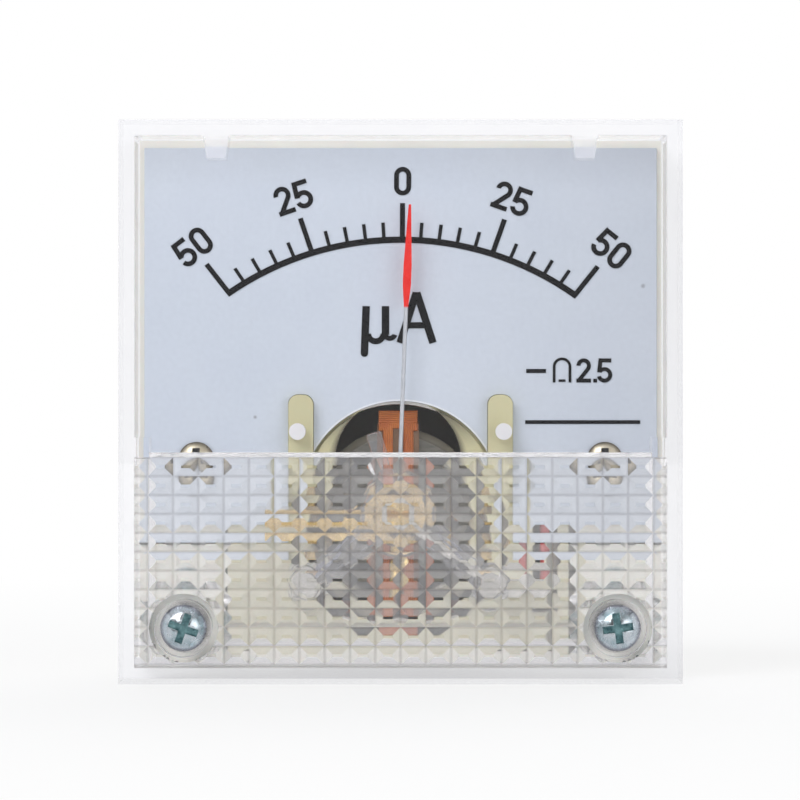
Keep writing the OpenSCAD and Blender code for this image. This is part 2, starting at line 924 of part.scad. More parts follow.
// Light pointer: a round shaft with a flat lance at its end
module pointer() {
    shaft_r = 0.17;
    lance = 16.6;
    flat = 0.12;
    color([0.93, 0.93, 0.9]) on_pivot(rest_angle) {
        translate([0, hub_y, hub_r - 0.02]) cylinder(h = lance + 0.6 - hub_r, r = shaft_r);
        slab(hub_y - flat, hub_y + flat) polygon([
            [-0.17, lance], [-0.33, 18.4], [-0.33, 20], [-0.1, pointer_len],
            [0.1, pointer_len], [0.33, 20], [0.33, 18.4], [0.17, lance]
        ]);
    }
}

module pointer_hub() {
    color([0.8, 0.8, 0.8]) on_pivot(rest_angle) difference() {
        union() {
            rod(0, 0, hub_y - hub_t / 2, hub_y + hub_t / 2, hub_r);
            rod(0, 0, -6.96, hub_y, 0.55);
            translate([-4.8, hub_y, 0]) rotate([0, 90, 0]) cylinder(h = 9.6, r = arm_r);
            translate([0, hub_y, -6.2]) cylinder(h = 6.2, r = arm_r);
        }
        rod(0, 0, -8, 0, staff_r);
    }
}

// Small brass nuts on the arms that balance the pointer
module balance_weights() {
    color(brass) on_pivot(rest_angle) translate([0, hub_y, 0]) difference() {
        union() {
            translate([0, 0, -5.9]) cylinder(h = 2.4, r = 0.5);
            both_sides() translate([3.7, 0, 0]) rotate([0, 90, 0]) cylinder(h = 0.7, r = 0.5);
        }
        translate([0, 0, -7]) cylinder(h = 7, r = arm_r);
        translate([-6, 0, 0]) rotate([0, 90, 0]) cylinder(h = 12, r = arm_r);
    }
}

// ---------- rear bearing ----------

module rear_bridge() {
    color(brass) on_pivot() slab(frame_back, frame_back + 0.9) difference() {
        union() {
            translate([-rear_screw_x, -1.6]) square([2 * rear_screw_x, 3.2]);
            circle(r = 2.6);
            for (side = [-1, 1]) translate([side * rear_screw_x, 0]) circle(r = 1.6);
        }
        circle(r = jewel_screw_r);
        for (side = [-1, 1]) translate([side * rear_screw_x, 0]) circle(r = 0.6);
    }
}

module rear_bridge_screws() {
    color(nickel) on_pivot() both_sides() {
        difference() {
            rod(rear_screw_x, 0, frame_back + 0.9, frame_back + 1.6, 1.1);
            box(rear_screw_x - 2, rear_screw_x + 2, frame_back + 1.3, frame_back + 2, -0.15, 0.15);
        }
        rod(rear_screw_x, 0, frame_back - 3, frame_back + 0.9, 0.58);
    }
}

module rear_jewel_screw() {
    color(brass) on_pivot() jewel_screw(7.2, rear_jewel_y, 1);
}

module rear_jewel() {
    color([0.75, 0.2, 0.3]) on_pivot() jewel(rear_jewel_y, 1);
}

module rear_hairspring() {
    color([0.85, 0.55, 0.2]) on_pivot() slab(rear_spring_y, rear_spring_y + spring_w) spiral();
}

// Post that holds the outer end of the rear hairspring
module rear_contact() {
    color(brass) on_pivot()
        box(anchor_x, anchor_x + 0.3, rear_spring_y - 0.1, frame_back, -0.4, 0.4);
}

// ---------- terminals ----------

module terminal_studs() {
    tip = barrel_depth + terminal_len;
    color(brass) both_sides() {
        rod(terminal_x, barrel_z, terminal_head_y, cavity_back, 3.2);
        rod(terminal_x, barrel_z, cavity_back, tip - 0.5, terminal_r);
        taper(terminal_x, barrel_z, tip - 0.5, tip, terminal_r, terminal_r - 0.4);
    }
}

module washer(y, t, r) {
    difference() {
        rod(terminal_x, barrel_z, y, y + t, r);
        rod(terminal_x, barrel_z, y - 1, y + t + 1, terminal_r + 0.15);
    }
}

module terminal_washers() {
    color(nickel) both_sides() washer(barrel_depth, 0.6, 4);
}

// Soldering tags with an eye at their outer ends
module terminal_tags() {
    y = barrel_depth + 0.6;
    color(nickel) both_sides() slab(y, y + 0.4) difference() {
        union() {
            translate([terminal_x, barrel_z]) circle(r = 3.4);
            translate([terminal_x - 1.5, barrel_z]) square([3, 8]);
            translate([terminal_x, barrel_z + 8]) circle(r = 1.5);
        }
        translate([terminal_x, barrel_z]) circle(r = terminal_r + 0.15);
        translate([terminal_x, barrel_z + 8]) circle(r = 0.7);
    }
}

// Split spring washers
module terminal_lock_washers() {
    color(nickel) both_sides() difference() {
        washer(barrel_depth + 1, 0.8, 3.2);
        box(terminal_x - 0.25, terminal_x + 0.25, barrel_depth, barrel_depth + 3,
            barrel_z, barrel_z + 5);
    }
}

module terminal_nuts() {
    color(brass) both_sides() difference() {
        translate([terminal_x, barrel_depth + 1.8, barrel_z]) rotate([-90, 0, 0])
            cylinder(h = 2.6, d = 7 / cos(30), $fn = 6);
        rod(terminal_x, barrel_z, barrel_depth, barrel_depth + 6, terminal_r + 0.01);
    }
}

// ---------- leads ----------

// Quarter bend that arrives along -Y at (y, z) and leaves along -Z
module bend(x, y, z) {
    translate([x, y, z - bend_r]) rotate([180, 0, 0]) rotate([0, 90, 0])
        rotate_extrude(angle = 90) translate([bend_r, 0]) circle(r = wire_r);
}

// Wire from the front of a terminal, forward to y and then down to z
module lead(x, y, z) {
    rod(x, barrel_z, y + bend_r, terminal_head_y, wire_r);
    bend(x, y + bend_r, barrel_z);
    translate([x, y, z]) cylinder(h = barrel_z - bend_r - z, r = wire_r);
}

// Insulated lead from the right terminal to the front contact
module front_lead() {
    color([0.75, 0.1, 0.08]) lead(front_lead_x, front_lead_y, pivot_z + leg_z + 0.6);
}

// Insulated lead from the left terminal to the rear bridge
module rear_lead() {
    color([0.08, 0.08, 0.09]) lead(-7.5, frame_back + 0.9 + wire_r, pivot_z + 0.4);
}

front_cover();
rear_case();
panel_studs();
cover_screws();
dial_plate();
dial_print();
dial_screws();
movement_frame();
frame_screws();
stop_pins();
yoke_ring();
core_magnet();
core_holders();
coil_former();
moving_coil();
front_staff();
rear_staff();
pointer();
pointer_hub();
balance_weights();
front_bridge();
bridge_screws();
front_contact();
contact_strip();
front_jewel_screw();
front_jewel();
zero_lever();
front_hairspring();
rear_bridge();
rear_bridge_screws();
rear_jewel_screw();
rear_jewel();
rear_hairspring();
rear_contact();
terminal_studs();
terminal_washers();
terminal_tags();
terminal_lock_washers();
terminal_nuts();
front_lead();
rear_lead();
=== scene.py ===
"""Looks of the square centre-zero panel meter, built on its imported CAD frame. Lengths are in metres."""
import json
import math

import bpy
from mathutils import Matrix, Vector

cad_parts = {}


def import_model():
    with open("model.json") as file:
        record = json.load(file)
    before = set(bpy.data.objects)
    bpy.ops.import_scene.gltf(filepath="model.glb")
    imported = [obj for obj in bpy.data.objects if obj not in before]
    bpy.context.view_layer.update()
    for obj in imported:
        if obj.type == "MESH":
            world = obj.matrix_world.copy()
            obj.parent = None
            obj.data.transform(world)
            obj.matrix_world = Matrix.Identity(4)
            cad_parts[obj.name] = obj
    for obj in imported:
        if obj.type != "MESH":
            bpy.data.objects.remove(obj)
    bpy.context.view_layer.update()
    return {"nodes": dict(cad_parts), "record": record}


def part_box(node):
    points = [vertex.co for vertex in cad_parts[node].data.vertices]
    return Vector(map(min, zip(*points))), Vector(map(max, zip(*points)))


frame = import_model()
NODES = frame["nodes"]
MM = 0.001


def centre_of(name):
    low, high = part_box(name)
    return (Vector(low) + Vector(high)) / 2


COVER_LOW, COVER_HIGH = (Vector(v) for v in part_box("front_cover"))
COVER_W = COVER_HIGH.x - COVER_LOW.x
MIDDLE = (COVER_LOW + COVER_HIGH) / 2
PIVOT = centre_of("front_jewel")
DIAL_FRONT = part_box("dial_plate")[0][1]
DIAL_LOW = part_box("dial_plate")[0][2]
ARCH = Vector((0, DIAL_FRONT, PIVOT.z + 1.05 * MM))
BAND_TOP = MIDDLE.z - 4 * MM
WINDOW_BACK = COVER_LOW.y + 1.3 * MM
PIT = WINDOW_BACK + 0.05 * MM
CREST = PIT + 0.4 * MM
BAND_BACK = CREST + 0.25 * MM
TAB_X = 14.75 * MM
TAB_HALF = 0.9 * MM
TAB_LOW = COVER_HIGH.z - 3.4 * MM
INNER_HALF = COVER_W / 2 - 1.2 * MM


# ---------- node helpers ----------

class Surface:
    """A material with one Principled shader and small helpers to feed it."""

    def __init__(self, name):
        self.mat = bpy.data.materials.new(name)
        self.mat.use_nodes = True
        self.nodes = self.mat.node_tree.nodes
        self.links = self.mat.node_tree.links
        self.shader = self.nodes["Principled BSDF"]
        self.output = self.nodes["Material Output"]
        self.coords = self.nodes.new("ShaderNodeTexCoord").outputs["Object"]

    def add(self, kind, **settings):
        node = self.nodes.new(kind)
        for key, value in settings.items():
            setattr(node, key, value)
        return node

    def plug(self, value, socket):
        if hasattr(value, "is_output"):
            self.links.new(value, socket)
        else:
            socket.default_value = value

    def math(self, op, a, b=0.0, clamp=False):
        node = self.add("ShaderNodeMath", operation=op, use_clamp=clamp)
        self.plug(a, node.inputs[0])
        self.plug(b, node.inputs[1])
        return node.outputs[0]

    def mapped(self, scale=(1, 1, 1), turn=(0, 0, 0), shift=(0, 0, 0)):
        node = self.add("ShaderNodeMapping")
        self.links.new(self.coords, node.inputs["Vector"])
        node.inputs["Location"].default_value = shift
        node.inputs["Rotation"].default_value = turn
        node.inputs["Scale"].default_value = scale
        return node.outputs["Vector"]

    def noise(self, scale, detail=3.0, rough=0.5, vector=None):
        node = self.add("ShaderNodeTexNoise")
        self.links.new(vector or self.coords, node.inputs["Vector"])
        node.inputs["Scale"].default_value = scale
        node.inputs["Detail"].default_value = detail
        node.inputs["Roughness"].default_value = rough
        return node.outputs["Fac"]

    def ramp(self, value, stops):
        node = self.add("ShaderNodeValToRGB")
        self.links.new(value, node.inputs["Fac"])
        ramp = node.color_ramp
        while len(ramp.elements) < len(stops):
            ramp.elements.new(0.5)
        for element, (place, colour) in zip(ramp.elements, stops):
            element.position = place
            element.color = (*colour, 1) if len(colour) == 3 else colour
        return node.outputs["Color"]

    def span(self, value, low, high, out_low=0.0, out_high=1.0):
        node = self.add("ShaderNodeMapRange")
        self.plug(value, node.inputs["Value"])
        for key, number in (("From Min", low), ("From Max", high), ("To Min", out_low), ("To Max", out_high)):
            node.inputs[key].default_value = number
        return node.outputs["Result"]

    def mix(self, factor, a, b, blend="MIX"):
        node = self.add("ShaderNodeMix", data_type="RGBA", blend_type=blend)
        self.plug(factor, node.inputs["Factor"])
        for value, socket in ((a, node.inputs[6]), (b, node.inputs[7])):
            if hasattr(value, "is_output"):
                self.links.new(value, socket)
            else:
                socket.default_value = (*value, 1)
        return node.outputs[2]

    def axes(self, vector=None):
        node = self.add("ShaderNodeSeparateXYZ")
        self.links.new(vector or self.coords, node.inputs[0])
        return node.outputs

    def near(self, point):
        """Distance from a point given in metres."""
        node = self.add("ShaderNodeVectorMath", operation="DISTANCE")
        self.links.new(self.coords, node.inputs[0])
        node.inputs[1].default_value = point
        return node.outputs["Value"]

    def bump(self, height, strength, distance):
        node = self.add("ShaderNodeBump")
        self.links.new(height, node.inputs["Height"])
        node.inputs["Strength"].default_value = strength
        node.inputs["Distance"].default_value = distance
        self.links.new(node.outputs["Normal"], self.shader.inputs["Normal"])

    def set(self, **values):
        for key, value in values.items():
            self.plug(value, self.shader.inputs[key.replace("_", " ")])


# ---------- materials ----------

def pass_light_through(s, tint):
    """Lamps and bounced light go through a clear moulding without bending."""
    path = s.add("ShaderNodeLightPath")
    clear = s.add("ShaderNodeBsdfTransparent")
    clear.inputs["Color"].default_value = (*tint, 1)
    blend = s.add("ShaderNodeMixShader")
    easy = s.math("MAXIMUM", path.outputs["Is Shadow Ray"], path.outputs["Is Diffuse Ray"])
    s.links.new(easy, blend.inputs["Fac"])
    s.links.new(s.shader.outputs["BSDF"], blend.inputs[1])
    s.links.new(clear.outputs["BSDF"], blend.inputs[2])
    s.links.new(blend.outputs["Shader"], s.output.inputs["Surface"])


def band_mask(s, y, z):
    """1 on the ridged inner face of the band."""
    ridged = s.span(y, PIT - 0.03 * MM, PIT - 0.01 * MM)
    ridged = s.math("MULTIPLY", ridged, s.span(y, BAND_BACK + 0.02 * MM, BAND_BACK))
    return s.math("MULTIPLY", ridged, s.span(z, BAND_TOP, BAND_TOP - 0.01 * MM))


def tab_mask(s, x, y, z):
    """1 on the two tabs under the top wall."""
    past = s.math("ABSOLUTE", s.math("SUBTRACT", s.math("ABSOLUTE", x), TAB_X))
    past = s.math("SUBTRACT", past, TAB_HALF)
    tab = s.math("MULTIPLY", s.span(past, 0.2 * MM, 0.0), s.span(z, INNER_HALF, INNER_HALF - 0.05 * MM))
    tab = s.math("MULTIPLY", tab, s.span(z, TAB_LOW, TAB_LOW + 0.4 * MM))
    return s.math("MULTIPLY", tab, s.span(y, WINDOW_BACK + 0.02 * MM, WINDOW_BACK + 0.1 * MM))


def wall_mask(s, x, y, z):
    """1 in the walls behind the window's front face."""
    sides = s.math("MAXIMUM", s.math("ABSOLUTE", x), s.math("ABSOLUTE", z))
    return s.math("MULTIPLY", s.span(sides, INNER_HALF - 0.06 * MM, INNER_HALF - 0.04 * MM),
                  s.span(y, COVER_LOW.y + 0.6 * MM, WINDOW_BACK))


def clear_cover():
    """Clear styrene: in the band polished pits and milky flanks. The band is tinted darker, and darker still
    along the crests: painted shade for the light lost in its facets and small rounded edges.
    """
    s = Surface("clear_cover")
    haze = s.noise(260, 4, 0.6)
    x, y, z = s.axes()
    ridged = band_mask(s, y, z)
    flank = s.math("MULTIPLY", ridged, s.span(y, PIT + 0.01 * MM, PIT + 0.05 * MM))
    crest_shade = s.math("MULTIPLY", ridged, s.span(y, CREST - 0.1 * MM, CREST - 0.04 * MM))
    clear = s.ramp(haze, [(0.3, (0.965, 0.965, 0.99)), (0.7, (0.985, 0.985, 1.0))])
    # painted shade: a grey tint over the ridged band, darker still along the crests below
    band_shade = s.mix(ridged, clear, (0.875, 0.86, 0.85))
    s.set(Base_Color=s.mix(s.math("MULTIPLY", crest_shade, 0.55), band_shade, (0.42, 0.40, 0.39)))
    s.set(Roughness=s.math("ADD", s.span(haze, 0.3, 0.7, 0.0, 0.03), s.math("MULTIPLY", flank, 0.1)))
    milky = s.math("ADD", s.math("MULTIPLY", flank, 0.24), s.math("MULTIPLY", tab_mask(s, x, y, z), 0.4))
    milky = s.math("MAXIMUM", milky, s.math("MULTIPLY", wall_mask(s, x, y, z), 0.35))
    s.set(Transmission_Weight=s.math("SUBTRACT", 1.0, milky), IOR=1.5)
    s.bump(s.noise(120, 2), 0.02, 0.1 * MM)
    pass_light_through(s, (0.97, 0.97, 0.985))
    return s.mat


def clear_bridge():
    s = Surface("clear_bridge")
    haze = s.noise(900, 3)
    s.set(Base_Color=s.ramp(haze, [(0.3, (0.93, 0.94, 0.97)), (0.7, (0.98, 0.98, 1.0))]))
    s.set(Roughness=s.span(haze, 0.3, 0.7, 0.04, 0.12), Transmission_Weight=0.96, IOR=1.5)
    s.bump(s.noise(700, 2), 0.05, 0.05 * MM)
    pass_light_through(s, (0.9, 0.9, 0.92))
    return s.mat


def moulded(name, dark, light, rough=0.42):
    """Satin moulded plastic; the caller may still change its colour."""
    s = Surface(name)
    cloud = s.noise(140, 4, 0.6)
    s.colour = s.ramp(cloud, [(0.3, dark), (0.7, light)])
    s.set(Base_Color=s.colour)
    s.set(Roughness=s.span(s.noise(600), 0.3, 0.7, rough - 0.06, rough + 0.08))
    s.set(Subsurface_Weight=0.08, Subsurface_Scale=0.4 * MM)
    s.bump(s.noise(3200, 3, 0.6), 0.12, 0.04 * MM)
    return s


def cream_abs():
    """Yellowed frame. Below the dial it is painted light, a paler and lighter ivory; in the arch round the
    coil it is painted shade, darker higher up and towards the opening's inner side.
    """
    s = moulded("cream_abs", (0.575, 0.535, 0.31), (0.64, 0.60, 0.365))
    x, y, z = s.axes()
    # painted shade in the arch round the coil: darker higher up and near the opening's inner side
    inside = s.span(s.near(ARCH), 7.85 * MM, 7.8 * MM)
    high = s.span(z, ARCH.z + 4.2 * MM, ARCH.z + 7.3 * MM)
    opening = s.near((PIVOT.x, DIAL_FRONT, PIVOT.z + 4.2 * MM))
    inner = s.span(opening, 5.65 * MM, 5.15 * MM, 0.0, 0.85)
    arch_shade = s.math("MULTIPLY", inside, s.math("MAXIMUM", high, inner))
    # painted light: a paler, lighter ivory below the dial
    painted_light_below_dial = s.span(z, DIAL_LOW, DIAL_LOW - 0.4 * MM, 0.0, 0.5)
    body = s.mix(painted_light_below_dial, s.colour, (0.72, 0.69, 0.6))
    s.set(Base_Color=s.mix(arch_shade, body, (0.06, 0.05, 0.035)))
    return s.mat


def ivory_abs():
    return moulded("ivory_abs", (0.79, 0.77, 0.68), (0.85, 0.83, 0.745)).mat


def white_sleeve():
    return moulded("white_sleeve", (0.76, 0.745, 0.735), (0.84, 0.83, 0.82), 0.35).mat


def dial_paint():
    s = Surface("dial_paint")
    cloud = s.ramp(s.noise(55, 4, 0.55), [(0.3, (0.61, 0.665, 0.73)), (0.7, (0.66, 0.71, 0.77))])
    grain = s.ramp(s.noise(2600, 2), [(0.35, (0.94, 0.94, 0.94)), (0.65, (1.0, 1.0, 1.0))])
    paint = s.mix(0.6, cloud, grain, "MULTIPLY")
    x, y, z = s.axes()
    # painted shade: darker towards the right, and a painted shadow of the cover's top wall near the top
    dial_shade = s.math("ADD", s.span(x, 2 * MM, 20 * MM, 0.0, 0.18), s.span(z, 17 * MM, 20 * MM, 0.0, 0.14))
    paint = s.mix(dial_shade, paint, (0.2, 0.2, 0.2))
    # painted highlight: a pale line round the cut of the arch opening
    arch_highlight = s.math("ABSOLUTE", s.math("SUBTRACT", s.near(ARCH), 8.08 * MM))
    paint = s.mix(s.span(arch_highlight, 0.03 * MM, 0.09 * MM, 0.8, 0.0), paint, (0.9, 0.91, 0.93))
    for spot_x, spot_z, size in ((19.6, 9.35, 0.15), (-11.75, -1.25, 0.12)):
        away = s.near((spot_x * MM, DIAL_FRONT, spot_z * MM))
        spot = s.span(away, size * 0.5 * MM, size * 1.6 * MM, 0.55, 0.0)
        paint = s.mix(spot, paint, (0.16, 0.15, 0.16))
    s.set(Base_Color=paint, Roughness=s.span(s.noise(900), 0.3, 0.7, 0.42, 0.55))
    s.bump(s.noise(4200, 2), 0.06, 0.02 * MM)
    return s.mat


def black_ink():
    s = Surface("black_ink")
    black = s.ramp(s.noise(1500, 3), [(0.3, (0.002, 0.002, 0.003)), (0.75, (0.007, 0.007, 0.009))])
    s.set(Base_Color=black)
    s.set(Roughness=s.span(s.noise(2400), 0.3, 0.7, 0.6, 0.75), Specular_IOR_Level=0.0)
    return s.mat


def metal(name, dark, light, rough, grain=2200, stretch=(1, 1, 1)):
    s = Surface(name)
    lines = s.noise(grain, 4, 0.6, s.mapped(scale=stretch))
    s.set(Base_Color=s.ramp(s.noise(380, 4, 0.6), [(0.3, dark), (0.7, light)]))
    s.set(Metallic=1.0, Roughness=s.span(lines, 0.3, 0.7, rough - 0.06, rough + 0.08))
    s.bump(lines, 0.08, 0.03 * MM)
    return s.mat


def nickel_plate():
    return metal("nickel_plate", (0.60, 0.59, 0.55), (0.74, 0.73, 0.69), 0.2)


def cross_recess(s, node, dome):
    """Mask of the cross recess in two domed heads, and the distance from the axis in head radii."""
    low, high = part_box(node)
    head_r = (high[2] - low[2]) / 2
    x, y, z = s.axes(s.mapped(shift=(0, -low[1], -(low[2] + head_r))))
    across = s.math("SUBTRACT", s.math("ABSOLUTE", x), high[0] - head_r)
    radius = s.math("SQRT", s.math("ADD", s.math("MULTIPLY", across, across), s.math("MULTIPLY", z, z)))
    surface = s.math("MULTIPLY", s.math("MULTIPLY", radius, radius), dome / MM)
    recess = s.span(s.math("SUBTRACT", y, surface), 0.04 * MM, 0.15 * MM)
    recess = s.math("MULTIPLY", recess, s.span(radius, head_r * 0.76, head_r * 0.74))
    return recess, s.math("DIVIDE", radius, head_r)


def blue_zinc():
    """Bright zinc with a blue-green passivation that gathers in the cross recess, painted darker there as
    shade; the head's outer ring is painted shade.
    """
    s = Surface("blue_zinc")
    recess, radius = cross_recess(s, "cover_screws", 0.222)
    tone = s.noise(900, 4, 0.6)
    plating = s.ramp(tone, [(0.3, (0.28, 0.38, 0.42)), (0.5, (0.46, 0.52, 0.56)),
                            (0.72, (0.56, 0.59, 0.63))])
    # painted shade: the head darkens towards its outer ring
    plating = s.mix(s.span(radius, 0.84, 0.97), plating, (0.26, 0.27, 0.31))
    # blue-green passivation in the cross recess, painted darker as shade
    recess_tint_and_shade = s.ramp(s.noise(1700, 3, 0.6), [(0.35, (0.05, 0.13, 0.15)), (0.65, (0.24, 0.42, 0.44))])
    s.set(Base_Color=s.mix(recess, plating, recess_tint_and_shade))
    s.set(Metallic=s.span(recess, 0, 1, 1.0, 0.6), Roughness=s.span(s.noise(2600), 0.3, 0.7, 0.2, 0.34))
    s.bump(s.noise(2800, 3), 0.1, 0.03 * MM)
    return s.mat


def aged_nickel():
    """Dull, brownish nickel; the cross recess is painted black and the head's outer ring painted darker, both
    painted shade.
    """
    s = Surface("aged_nickel")
    recess, radius = cross_recess(s, "dial_screws", 0.26)
    tone = s.noise(900, 4, 0.6)
    plating = s.ramp(tone, [(0.3, (0.40, 0.35, 0.24)), (0.7, (0.58, 0.53, 0.41))])
    # painted shade: darker towards the head's outer ring
    plating = s.mix(s.span(radius, 0.75, 0.98), plating, (0.12, 0.10, 0.07))
    # painted shade: the cross recess is black
    s.set(Base_Color=s.mix(recess, plating, (0.004, 0.004, 0.004)))
    s.set(Metallic=s.span(recess, 0, 1, 1.0, 0.0), Roughness=s.span(s.noise(2600), 0.3, 0.7, 0.26, 0.4))
    s.bump(s.noise(2800, 3), 0.1, 0.03 * MM)
    return s.mat


def magnet_alloy():
    s = Surface("magnet_alloy")
    cuts = s.noise(5200, 3, 0.6, s.mapped(scale=(0.12, 1, 1), turn=(0, 0.4, 0)))
    alloy = s.ramp(cuts, [(0.3, (0.13, 0.13, 0.11)), (0.7, (0.24, 0.23, 0.20))])
    front = centre_of("core_magnet")
    front.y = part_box("core_magnet")[0][1]
    # painted reflection: a pale cream ring on the chamfer round the front face
    chamfer_highlight = s.span(s.near(front), 6.1 * MM, 6.4 * MM, 0.0, 0.9)
    s.set(Base_Color=s.mix(chamfer_highlight, alloy, (0.46, 0.43, 0.33)))
    s.set(Metallic=s.span(chamfer_highlight, 0, 1, 0.9, 0.3), Roughness=s.span(cuts, 0.3, 0.7, 0.38, 0.55))
    s.bump(cuts, 0.2, 0.03 * MM)
    return s.mat


def bright_brass():
    return metal("bright_brass", (0.66, 0.46, 0.16), (0.80, 0.60, 0.26), 0.24, 1800)


def spring_bronze():
    return metal("spring_bronze", (0.62, 0.30, 0.10), (0.78, 0.44, 0.18), 0.28, 3000)


def former_aluminium():
    """Thin aluminium under brown lacquer."""
    return metal("former_aluminium", (0.20, 0.12, 0.08), (0.30, 0.19, 0.12), 0.35, 2500, (1, 0.2, 1))


def polished_steel():
    return metal("polished_steel", (0.55, 0.55, 0.56), (0.66, 0.66, 0.67), 0.16)


def copper_winding():
    """Close turns of enamelled wire: along the coil in front, in stacked layers at its ends."""
    s = Surface("copper_winding")
    x, y, z = s.axes(s.mapped(shift=(-PIVOT.x, 0, -PIVOT.z)))
    wire = 0.17 * MM
    across = s.math("SINE", s.math("MULTIPLY", x, 2 * math.pi / wire))
    stacked = s.math("SINE", s.math("MULTIPLY", z, 2 * math.pi / wire))
    reach = (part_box("moving_coil")[1][2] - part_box("moving_coil")[0][2]) / 2
    at_end = s.span(s.math("ABSOLUTE", z), reach - 1.15 * MM, reach - 1.1 * MM)
    turns = s.add("ShaderNodeMix")
    s.links.new(at_end, turns.inputs[0])
    s.links.new(across, turns.inputs[2])
    s.links.new(stacked, turns.inputs[3])
    turns = turns.outputs[0]
    tone = s.mix(s.span(s.noise(700, 4), 0.3, 0.7), (0.50, 0.11, 0.014), (0.70, 0.205, 0.026))
    # painted shade: darker in the grooves between the turns
    s.set(Base_Color=s.mix(s.span(turns, -1, 1, 0.5, 0.0), tone, (0.13, 0.03, 0.015)))
    s.set(Metallic=0.35, Roughness=0.36, Coat_Weight=0.12, Coat_Roughness=0.2)
    s.bump(turns, 0.6, 0.04 * MM)
    return s.mat


def pointer_paint():
    s = Surface("pointer_paint")
    reach = s.near((PIVOT.x, centre_of("pointer").y, PIVOT.z))
    lance = s.span(reach, 16.55 * MM, 16.7 * MM)
    wear = s.span(s.noise(1600, 3), 0.3, 0.7)
    red = s.mix(wear, (0.80, 0.010, 0.006), (0.90, 0.025, 0.015))
    silver = s.mix(wear, (0.49, 0.51, 0.53), (0.60, 0.61, 0.625))
    s.set(Base_Color=s.mix(lance, silver, red))
    s.set(Metallic=s.span(lance, 0, 1, 0.35, 0.0), Roughness=s.span(wear, 0, 1, 0.34, 0.46))
    s.set(Specular_IOR_Level=0.2)
    s.bump(s.noise(5000, 2), 0.05, 0.01 * MM)
    return s.mat


def ruby():
    s = Surface("ruby")
    s.set(Base_Color=s.ramp(s.noise(2500), [(0.3, (0.55, 0.03, 0.07)), (0.7, (0.75, 0.08, 0.14))]))
    s.set(Roughness=0.08, Transmission_Weight=0.5, IOR=1.76)
    return s.mat


def insulation(name, dark, light):
    s = Surface(name)
    s.set(Base_Color=s.ramp(s.noise(500, 3), [(0.3, dark), (0.7, light)]))
    s.set(Roughness=s.span(s.noise(1500), 0.3, 0.7, 0.38, 0.5))
    s.bump(s.noise(2200, 3), 0.08, 0.03 * MM)
    return s.mat


def red_insulation():
    return insulation("red_insulation", (0.42, 0.02, 0.015), (0.55, 0.04, 0.03))


def black_insulation():
    return insulation("black_insulation", (0.012, 0.012, 0.014), (0.03, 0.03, 0.034))


MATERIALS = (
    clear_cover, clear_bridge, cream_abs, ivory_abs, white_sleeve, dial_paint, black_ink,
    nickel_plate, blue_zinc, aged_nickel, magnet_alloy, bright_brass, spring_bronze,
    copper_winding, former_aluminium, polished_steel, pointer_paint, ruby, red_insulation,
    black_insulation,
)


def dress_nodes():
    """Every CAD node takes the material of its slot in the record."""
    made = {maker.__name__: maker() for maker in MATERIALS}
    for part in frame["record"]["subparts"]:
        mesh = NODES[part["node"]].data
        mesh.materials.clear()
        mesh.materials.append(made[part["material_slot"]])


# ---------- softened edges ----------

EDGES = {
    "front_cover": 0.09, "rear_case": 0.2, "movement_frame": 0.12, "front_bridge": 0.1,
    "cover_screws": 0.05, "dial_screws": 0.05, "frame_screws": 0.06, "bridge_screws": 0.05,
    "stop_pins": 0.1, "core_magnet": 0.06, "yoke_ring": 0.08, "core_holders": 0.08,
    "moving_coil": 0.12, "panel_studs": 0.06, "terminal_studs": 0.08, "terminal_nuts": 0.18,
    "terminal_washers": 0.08, "terminal_tags": 0.05, "terminal_lock_washers": 0.08,
    "rear_bridge": 0.06, "rear_bridge_screws": 0.05, "front_contact": 0.04, "contact_strip": 0.03,
    "front_jewel_screw": 0.05, "rear_jewel_screw": 0.05, "zero_lever": 0.03, "pointer_hub": 0.04,
    "balance_weights": 0.05, "dial_plate": 0.03,
}


def soften_edges():
    for name, width in EDGES.items():
        obj = NODES[name]
        weld = obj.modifiers.new("weld", "WELD")
        weld.merge_threshold = 0.002 * MM
        bevel = obj.modifiers.new("bevel", "BEVEL")
        bevel.width = width * MM
        bevel.segments = 2
        bevel.limit_method = "ANGLE"
        bevel.angle_limit = math.radians(32)
        bevel.use_clamp_overlap = True
        bevel.harden_normals = True
        obj.modifiers.new("normals", "WEIGHTED_NORMAL").keep_sharp = True


# ---------- stage ----------

def joined(tree, op, a, b):
    """Math node in any tree; a and b are sockets or numbers."""
    node = tree.nodes.new("ShaderNodeMath")
    node.operation = op
    for value, socket in zip((a, b), node.inputs):
        if hasattr(value, "is_output"):
            tree.links.new(value, socket)
        else:
            socket.default_value = value
    return node.outputs[0]


def seen_directly(tree):
    """1 for rays that show the background: camera, glossy and transmission rays."""
    path = tree.nodes.new("ShaderNodeLightPath")
    total = path.outputs["Is Camera Ray"]
    for name in ("Is Glossy Ray", "Is Transmission Ray"):
        total = joined(tree, "MAXIMUM", total, path.outputs[name])
    return total


def floor():
    bpy.ops.mesh.primitive_circle_add(vertices=96, radius=1.2, fill_type="NGON",
                                      location=(MIDDLE.x, MIDDLE.y, COVER_LOW.z))
    obj = bpy.context.object
    obj.name = "floor"
    s = Surface("floor")
    s.set(Base_Color=s.ramp(s.noise(4, 2), [(0.3, (0.80, 0.80, 0.80)), (0.7, (0.82, 0.82, 0.82))]))
    s.set(Roughness=0.8, Specular_IOR_Level=0.1)
    glow = s.add("ShaderNodeEmission")
    glow.inputs["Strength"].default_value = 1.0
    fade = s.span(s.near((0, 0, 0)), 0.05, 0.2, 0.72, 1.0)
    blend = s.add("ShaderNodeMixShader")
    s.links.new(s.math("MULTIPLY", fade, seen_directly(s.mat.node_tree)), blend.inputs["Fac"])
    s.links.new(s.shader.outputs["BSDF"], blend.inputs[1])
    s.links.new(glow.outputs["Emission"], blend.inputs[2])
    s.links.new(blend.outputs["Shader"], s.output.inputs["Surface"])
    obj.data.materials.append(s.mat)


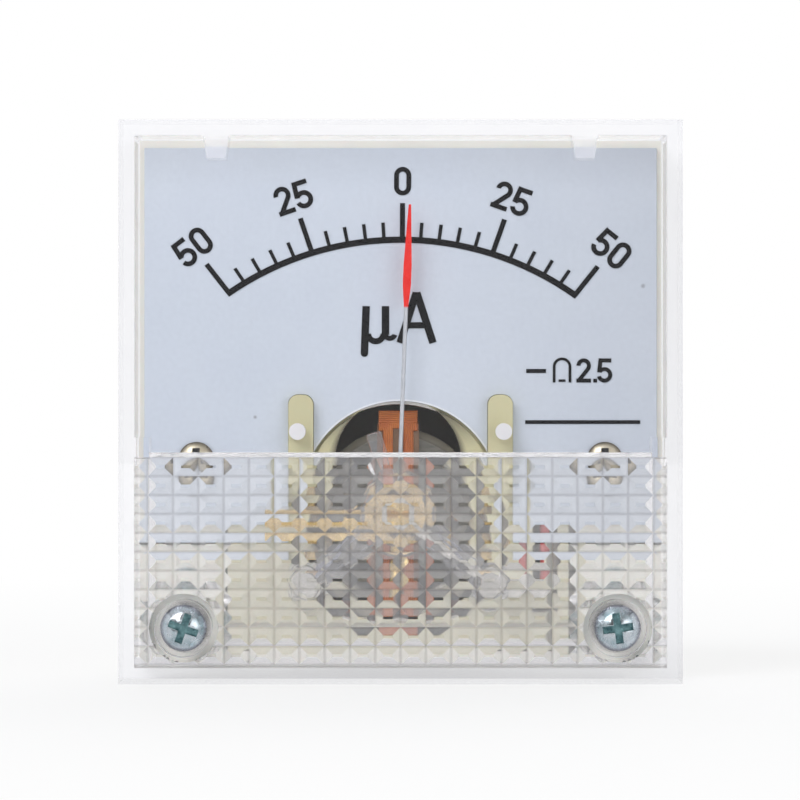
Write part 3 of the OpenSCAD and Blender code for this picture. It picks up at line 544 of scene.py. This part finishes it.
def studio_white(tree):
    """Strength of the white room, less in the half from which the meter is looked at."""
    coords = tree.nodes.new("ShaderNodeTexCoord")
    parts = tree.nodes.new("ShaderNodeSeparateXYZ")
    tree.links.new(coords.outputs["Generated"], parts.inputs[0])
    front = tree.nodes.new("ShaderNodeMapRange")
    tree.links.new(parts.outputs["Y"], front.inputs["Value"])
    for key, number in (("From Min", -0.3), ("From Max", -0.9), ("To Min", 0.0), ("To Max", 1.0)):
        front.inputs[key].default_value = number
    path = tree.nodes.new("ShaderNodeLightPath")
    mirrored = joined(tree, "SUBTRACT", path.outputs["Is Glossy Ray"], path.outputs["Is Transmission Ray"])
    mirrored = joined(tree, "MULTIPLY", joined(tree, "MAXIMUM", mirrored, 0.0), 0.93)
    through = joined(tree, "MULTIPLY", path.outputs["Is Transmission Ray"], 0.25)
    drop = joined(tree, "MULTIPLY", joined(tree, "ADD", mirrored, through), front.outputs["Result"])
    return joined(tree, "SUBTRACT", 1.0, drop)


def world():
    scene_world = bpy.data.worlds.new("studio")
    bpy.context.scene.world = scene_world
    scene_world.use_nodes = True
    tree = scene_world.node_tree
    light = tree.nodes["Background"]
    light.inputs["Color"].default_value = (0.96, 0.98, 1.0, 1)
    light.inputs["Strength"].default_value = 0.5
    white = tree.nodes.new("ShaderNodeBackground")
    white.inputs["Color"].default_value = (1, 1, 1, 1)
    tree.links.new(studio_white(tree), white.inputs["Strength"])
    blend = tree.nodes.new("ShaderNodeMixShader")
    tree.links.new(seen_directly(tree), blend.inputs["Fac"])
    tree.links.new(light.outputs["Background"], blend.inputs[1])
    tree.links.new(white.outputs["Background"], blend.inputs[2])
    tree.links.new(blend.outputs["Shader"], tree.nodes["World Output"].inputs["Surface"])


def lamp(name, offset, size, watts):
    data = bpy.data.lights.new(name, "AREA")
    data.shape = "SQUARE"
    data.size = size
    data.energy = watts
    obj = bpy.data.objects.new(name, data)
    obj.location = MIDDLE + Vector(offset)
    obj.rotation_euler = (-Vector(offset)).to_track_quat("-Z", "Y").to_euler()
    bpy.context.scene.collection.objects.link(obj)


def lights():
    lamp("key_lamp", (-0.32, -0.42, 0.46), 0.4, 2.6)
    lamp("fill_lamp", (0.42, -0.5, 0.12), 0.4, 1.0)
    lamp("back_lamp", (0.1, 0.5, 0.4), 0.4, 1.6)


CAMERA_AWAY = COVER_W * 7.69
FRAME_W = COVER_W * 1.416


def camera():
    """Straight in front of the dial, as in the photo; the distance is an estimate."""
    data = bpy.data.cameras.new("camera")
    data.sensor_width = 36
    data.lens = data.sensor_width * CAMERA_AWAY / FRAME_W
    data.clip_start = 0.01
    obj = bpy.data.objects.new("camera", data)
    obj.location = (MIDDLE.x - COVER_W * 0.001, COVER_LOW.y - CAMERA_AWAY, MIDDLE.z + COVER_W * 0.003)
    obj.rotation_euler = (math.radians(90), 0, 0)
    bpy.context.scene.collection.objects.link(obj)
    bpy.context.scene.camera = obj


dress_nodes()
soften_edges()
floor()
world()
lights()
camera()
bpy.context.scene.view_settings.view_transform = "Standard"
